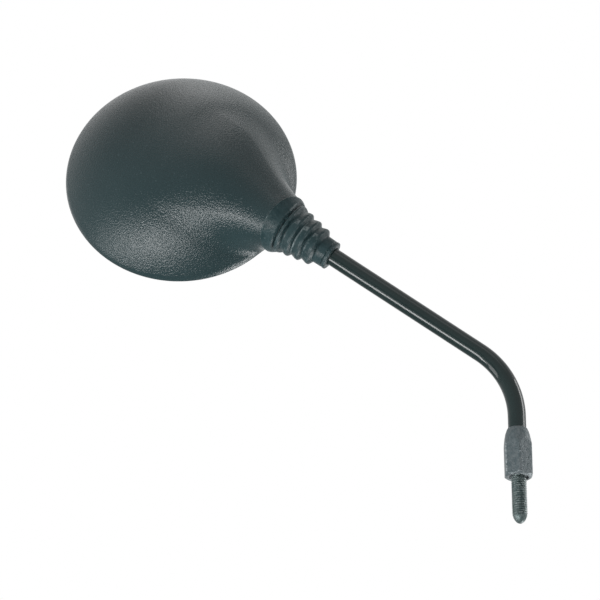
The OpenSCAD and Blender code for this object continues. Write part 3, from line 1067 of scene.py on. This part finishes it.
@dataclass
class Stem:
    """Painted stem tube, hex adapter and threaded stud."""

    frames: MirrorFrames
    stem_r: float = 4.75
    bore_r: float = 3.25
    tube_foot: float = 14.43
    bend_z: float = 56.3
    bend_r: float = 45.0
    bend_angle: float = 53.2
    stem_reach: float = 151.6
    tube_gap: float = 12.0
    end_ease: float = 0.25
    hex_af: float = 14.0
    hex_h: float = 26.8
    hex_turn: float = 37.0
    hex_chamfer: float = 1.2
    shoulder_h: float = 8.4
    shoulder_top_r: float = 5.25
    tube_socket: float = 12.4
    stud_r: float = 4.0
    stud_neck_r: float = 3.4
    stud_neck: float = 0.4
    stud_len: float = 19.6
    stud_tip: float = 5.8
    stud_depth: float = 12.0
    relief_depth: float = 0.8
    relief_r: float = 5.1
    thread_pitch: float = 1.25
    thread_fade: float = 0.35
    tip_power: float = 1.6

    def centreline(self) -> tuple[Array, Array]:
        """Returns the tube's centre points and its directions, from foot to ball joint."""
        half = math.radians(self.bend_angle) / 2
        run = self.bend_r * math.tan(half)
        start = self.bend_z - run
        points = [np.array([0, 0, z]) for z in np.linspace(self.tube_foot, start, 8)[:-1]]
        heads = [0.0] * len(points)
        for a in np.linspace(0, 2 * half, 60):
            points.append(
                np.array([self.bend_r * (math.cos(a) - 1), 0, start + self.bend_r * math.sin(a)])
            )
            heads.append(a)
        ahead = np.array([-math.sin(2 * half), 0, math.cos(2 * half)])
        vertex = np.array([0, 0, self.bend_z])
        for d in np.linspace(run, self.stem_reach - self.tube_gap, 30)[1:]:
            points.append(vertex + d * ahead)
            heads.append(2 * half)
        return np.array(points), np.array(heads)

    def tube(self, columns: int = 72) -> Thing:
        """Builds the tube as a closed skin with its bore."""
        points, heads = self.centreline()
        angle = turns(columns)[None, :, None]
        side = np.stack([np.cos(heads), 0 * heads, np.sin(heads)], axis=-1)
        ring = np.cos(angle) * side[:, None, :] + np.sin(angle) * np.array([0, 1.0, 0])
        ease = self.end_ease
        ahead = np.stack([-np.sin(heads), 0 * heads, np.cos(heads)], axis=-1)
        outer = points[:, None] + self.stem_r * ring
        outer_ends = [(points[k] + (self.stem_r - ease) * ring[k])[None] for k in (0, -1)]
        outer[0] += ease * ahead[0]
        outer[-1] -= ease * ahead[-1]
        inner = points[:, None] + self.bore_r * ring
        rows = np.concatenate([outer_ends[0], outer, outer_ends[1], inner[::-1]])
        mesh = grid_mesh("stem_painted_tube", WORLD.place(rows), 50, close_rows=True)
        return STEM_PAINT.on(mesh)

    def hex_radius(self, angle: Array) -> Array:
        """Radius of the hex outline at each angle, with its corners eased."""
        sixth = math.pi / 3
        off = np.mod(angle - math.radians(self.hex_turn), sixth) - sixth / 2
        flat = self.hex_af / 2 / np.cos(off)
        return smooth_min(flat, 0 * flat + self.hex_af / math.sqrt(3) - 0.05, 0.35)

    def shoulder(self) -> Array:
        """Round outline that cuts the hex, as radius and height from seat to top."""
        half, top = self.hex_af / 2, self.hex_h
        corner, base = self.hex_af / math.sqrt(3), top - self.shoulder_h
        return round_path(
            [
                (half - self.hex_chamfer / 3 - 0.05, 0.0, 0),
                (corner, self.hex_chamfer, 0.3),
                (corner, base - corner + half, 1.0),
                (half + 0.15, base + 0.15 * self.shoulder_h, 1.5),
                (half - 0.3, base + 0.40 * self.shoulder_h, 1.5),
                (half - 0.65, base + 0.62 * self.shoulder_h, 1.5),
                (self.shoulder_top_r + 0.6, base + 0.80 * self.shoulder_h, 1.2),
                (self.shoulder_top_r + 0.15, top - 0.5, 0.4),
                (self.shoulder_top_r - 0.2, top, 0),
            ],
            5,
        )

    def adapter(self, columns: int = 216) -> Thing:
        """Builds the adapter: relief, seat, eased hex, rounded shoulder and both bores."""
        angle = turns(columns)
        side = densify(self.shoulder(), 0.35)
        flats = self.hex_radius(angle)
        radii = smooth_min(side[:, :1], flats[None, :], 0.3)
        heights = np.repeat(side[:, 1:], columns, axis=1)
        stud, tube = self.stud_neck_r + 0.03, self.stem_r + 0.03
        bottom = [
            (0.001, self.stud_depth + 0.03),
            (stud, self.stud_depth + 0.03),
            (stud, self.relief_depth),
            (self.relief_r - 0.1, self.relief_depth),
            (self.relief_r, self.relief_depth - 0.1),
            (self.relief_r, 0.1),
            (self.relief_r + 0.1, 0.0),
        ]
        top = [
            (tube + 0.1, self.hex_h),
            (tube, self.hex_h - 0.1),
            (tube, self.hex_h - self.tube_socket),
            (0.001, self.hex_h - self.tube_socket),
        ]
        rows = [(np.full(columns, r), np.full(columns, z)) for r, z in bottom]
        rows += list(zip(radii, heights))
        rows += [(np.full(columns, r), np.full(columns, z)) for r, z in top]
        grid = np.stack([around(angle, r, z) for r, z in rows])
        return ADAPTER_STEEL.on(grid_mesh("hex_adapter_body", WORLD.place(grid), 32))

    def thread_radius(self, z: Array, angle: Array) -> Array:
        """Radius of a right-hand metric thread at each height and angle."""
        pitch, depth = self.thread_pitch, 0.6134 * self.thread_pitch
        phase = np.mod(z / pitch - angle / (2 * math.pi), 1.0)
        tri = 1 - np.abs(2 * phase - 1)
        cut = np.clip((tri - 0.125) / 0.6875, 0, 1)
        return self.stud_r - depth * cut

    def stud(self, columns: int = 72, step: float = 0.1) -> Thing:
        """Builds the stud with a true helical thread that fades out on the tip."""
        z = np.arange(self.stud_depth - 0.02, -self.stud_len - self.stud_tip, -step)
        z = np.append(z, -self.stud_len - self.stud_tip)
        angle = turns(columns)
        x = np.clip((-z - self.stud_len) / self.stud_tip, 0, 1)
        tip = self.stud_r * np.sqrt(np.clip(1 - x**self.tip_power, 0, 1))
        thread = self.thread_radius(z[:, None], angle[None, :])
        fade = np.clip(x / self.thread_fade - 1, 0, 1)[:, None]
        thread = thread * (1 - fade) + self.stud_r * fade
        neck = np.where(z > -self.stud_neck, self.stud_neck_r, self.stud_r)
        r = np.minimum(thread, np.minimum(tip, neck)[:, None])
        pole = around(angle, 0.0, z[0])[None]
        grid = np.concatenate([pole, around(angle, r, z[:, None])])
        return STUD_OXIDE.on(grid_mesh("stud_rolled_thread", WORLD.place(grid), 50))

    def build(self) -> None:
        """Builds the pieces and sets them on the stem's body."""
        set_on(self.tube(), "stem", "stem_tube")
        set_on(self.adapter(), "stem", "hex_adapter")
        set_on(self.stud(), "stem", "threaded_stud")


@dataclass
class InnerWorks:
    """Solids inside the head and the boot, which keep their own shapes."""

    finishes: dict[str, Finish] = field(
        default_factory=lambda: {
            "ball_stud": BALL_STEEL,
            "ball_seat_front": LINER_NYLON,
            "ball_seat_rear": LINER_NYLON,
            "clamp_plate": CLAMP_ZINC,
            "clamp_screw_1": SCREW_ZINC,
            "clamp_screw_2": SCREW_ZINC,
            "clamp_washer_1": SCREW_ZINC,
            "clamp_washer_2": SCREW_ZINC,
            "foam_pad": FOAM_GREY,
            "backing_plate": PLATE_PLASTIC,
        }
    )

    def build(self) -> None:
        """Gives each node its finish."""
        for name, finish in self.finishes.items():
            node = frame["nodes"][name]
            report(finish.on(node))


# Studio


@dataclass(frozen=True)
class Lens:
    """Camera of the photograph: a long lens nearly square to the head."""

    right: Triple = (0.9992, 0.0302, -0.0252)
    up: Triple = (0.0343, -0.3576, 0.9332)
    back: Triple = (0.0192, -0.9333, -0.3584)
    mm_per_pixel: float = 0.5172
    image_px: float = 600.0
    origin_px: Pair = (518.8, 477.45)
    distance_m: float = 8.0
    sensor_mm: float = 36.0

    def build(self) -> None:
        """Makes the camera and makes it the scene's own."""
        right, up = Vector(self.right).normalized(), Vector(self.up).normalized()
        back = right.cross(up).normalized()
        up = back.cross(right).normalized()
        half = self.image_px / 2
        scale = self.mm_per_pixel * MM
        centre = right * (half - self.origin_px[0]) * scale
        centre += up * (self.origin_px[1] - half) * scale
        data = bpy.data.cameras.new("camera")
        data.sensor_width = self.sensor_mm
        data.lens = self.sensor_mm * self.distance_m / (self.image_px * scale)
        data.clip_start, data.clip_end = 0.05, 50
        cam = bpy.data.objects.new("camera", data)
        turn = Matrix((right, up, back)).transposed().to_4x4()
        cam.matrix_world = Matrix.Translation(centre + back * self.distance_m) @ turn
        bpy.context.scene.collection.objects.link(cam)
        bpy.context.scene.camera = cam

    def direction(self, right: float, up: float, back: float) -> Vector:
        """Returns a direction given along the picture's right, up and towards the viewer."""
        return (
            Vector(self.right) * right + Vector(self.up) * up + Vector(self.back) * back
        ).normalized()


@dataclass(frozen=True)
class SoftBox:
    """One soft lamp, placed round the object."""

    name: str
    toward: Triple
    size_m: Pair
    watts: float
    distance_m: float = 1.3

    def build(self, lens: Lens, target: Vector) -> None:
        """Hangs the lamp on its side of the picture, facing the target."""
        data = bpy.data.lights.new(self.name, "AREA")
        data.shape = "RECTANGLE"
        data.size, data.size_y = self.size_m
        data.energy = self.watts
        lamp = bpy.data.objects.new(self.name, data)
        way = lens.direction(*self.toward)
        lamp.location = target + way * self.distance_m
        lamp.rotation_mode = "QUATERNION"
        lamp.rotation_quaternion = way.to_track_quat("Z", "Y")
        lamp.visible_camera = False
        bpy.context.scene.collection.objects.link(lamp)


@dataclass(frozen=True)
class Studio:
    """Pale floor, white surround and soft lamps."""

    lens: Lens
    floor_z: float = -3.3
    floor_size: float = 60.0
    floor_glow: float = 0.42
    floor_roughness: float = 0.8
    floor_clouds_per_m: float = 1.5
    floor_tone: Triple = (0.86, 0.86, 0.86)
    floor_tone_2: Triple = (0.88, 0.88, 0.88)
    room_tone: float = 0.0
    boxes: tuple[SoftBox, ...] = (
        SoftBox("low_left_strip", (-0.6, -0.4, 0.7), (1.2, 0.2), 14.0),
        SoftBox("low_front_strip", (-0.25, -0.42, 0.87), (1.0, 0.15), 11.0),
        SoftBox("far_left_strip", (-0.88, -0.3, 0.3), (1.0, 0.3), 5.0),
        SoftBox("top_back_box", (0.0, 0.93, -0.35), (1.5, 0.5), 3.7),
        SoftBox("top_front_box", (0.0, 0.95, 0.3), (1.5, 0.5), 2.0),
        SoftBox("right_box", (0.95, 0.25, -0.2), (0.4, 1.0), 10.0),
        SoftBox("low_right_box", (0.6, -0.75, -0.2), (0.8, 0.4), 14.5),
    )

    def floor(self) -> None:
        """Lays the floor far below, where the object's soft shadow falls."""
        half = self.floor_size / 2
        corners = np.array([[-half, -half], [half, -half], [half, half], [-half, half]])
        ring = np.concatenate([corners, np.full((4, 1), self.floor_z)], axis=1)
        middle = np.repeat(ring.mean(0)[None], 4, axis=0)
        floor = grid_mesh("floor", np.stack([middle, ring]))
        mat = bpy.data.materials.new("pale_floor")
        mat.use_nodes = True
        shader = mat.node_tree.nodes["Principled BSDF"]
        shader.inputs["Roughness"].default_value = self.floor_roughness
        shader.inputs["Emission Color"].default_value = (1, 1, 1, 1)
        nodes = Nodes(mat.node_tree)
        mottle = nodes.effect(Effect.MOTTLE, {"Clouds per metre": self.floor_clouds_per_m})
        tone = nodes.blend(mottle.outputs["Cloud"], self.floor_tone, self.floor_tone_2)
        nodes.link(tone, shader.inputs["Base Color"])
        glow = nodes.add("ShaderNodeMath", operation="MULTIPLY")
        glow.inputs[1].default_value = self.floor_glow
        nodes.link(nodes.seen_by("Is Camera Ray", "Is Glossy Ray"), glow.inputs[0])
        nodes.link(glow.outputs[0], shader.inputs["Emission Strength"])
        floor.data.materials.append(mat)

    def surround(self) -> None:
        """Makes the world white to the eye and in reflections, and room_tone as a light."""
        world = bpy.data.worlds.new("surround")
        world.use_nodes = True
        world.node_tree.nodes.clear()
        nodes = Nodes(world.node_tree)
        mix = nodes.add("ShaderNodeMixShader")
        seen = nodes.seen_by("Is Camera Ray", "Is Glossy Ray", "Is Transmission Ray")
        nodes.link(seen, mix.inputs[0])
        for place, strength in ((1, self.room_tone), (2, 1.0)):
            values = {"Color": (1, 1, 1, 1), "Strength": strength}
            light = nodes.add("ShaderNodeBackground", values=values)
            nodes.link(light.outputs[0], mix.inputs[place])
        out = nodes.add("ShaderNodeOutputWorld")
        nodes.link(mix.outputs[0], out.inputs[0])
        bpy.context.scene.world = world

    def build(self) -> None:
        """Sets up the floor, the surround and the lamps."""
        self.floor()
        self.surround()
        lo, hi = CAD_BOX
        for box in self.boxes:
            box.build(self.lens, (lo + hi) / 2)
        bpy.context.scene.view_settings.view_transform = "Standard"


def main() -> None:
    """Builds the camera, the mirror's sub-assemblies and the studio, in that order."""
    logging.basicConfig(level=logging.INFO, format="%(name)s: %(message)s")
    sizes = HeadSizes()
    frames = MirrorFrames(sizes)
    lens = Lens()
    lens.build()
    for part in (Stem(frames), Boot(sizes, frames), Head(sizes, frames), InnerWorks()):
        part.build()
    Studio(lens).build()


if __name__ == "__main__":
    main()
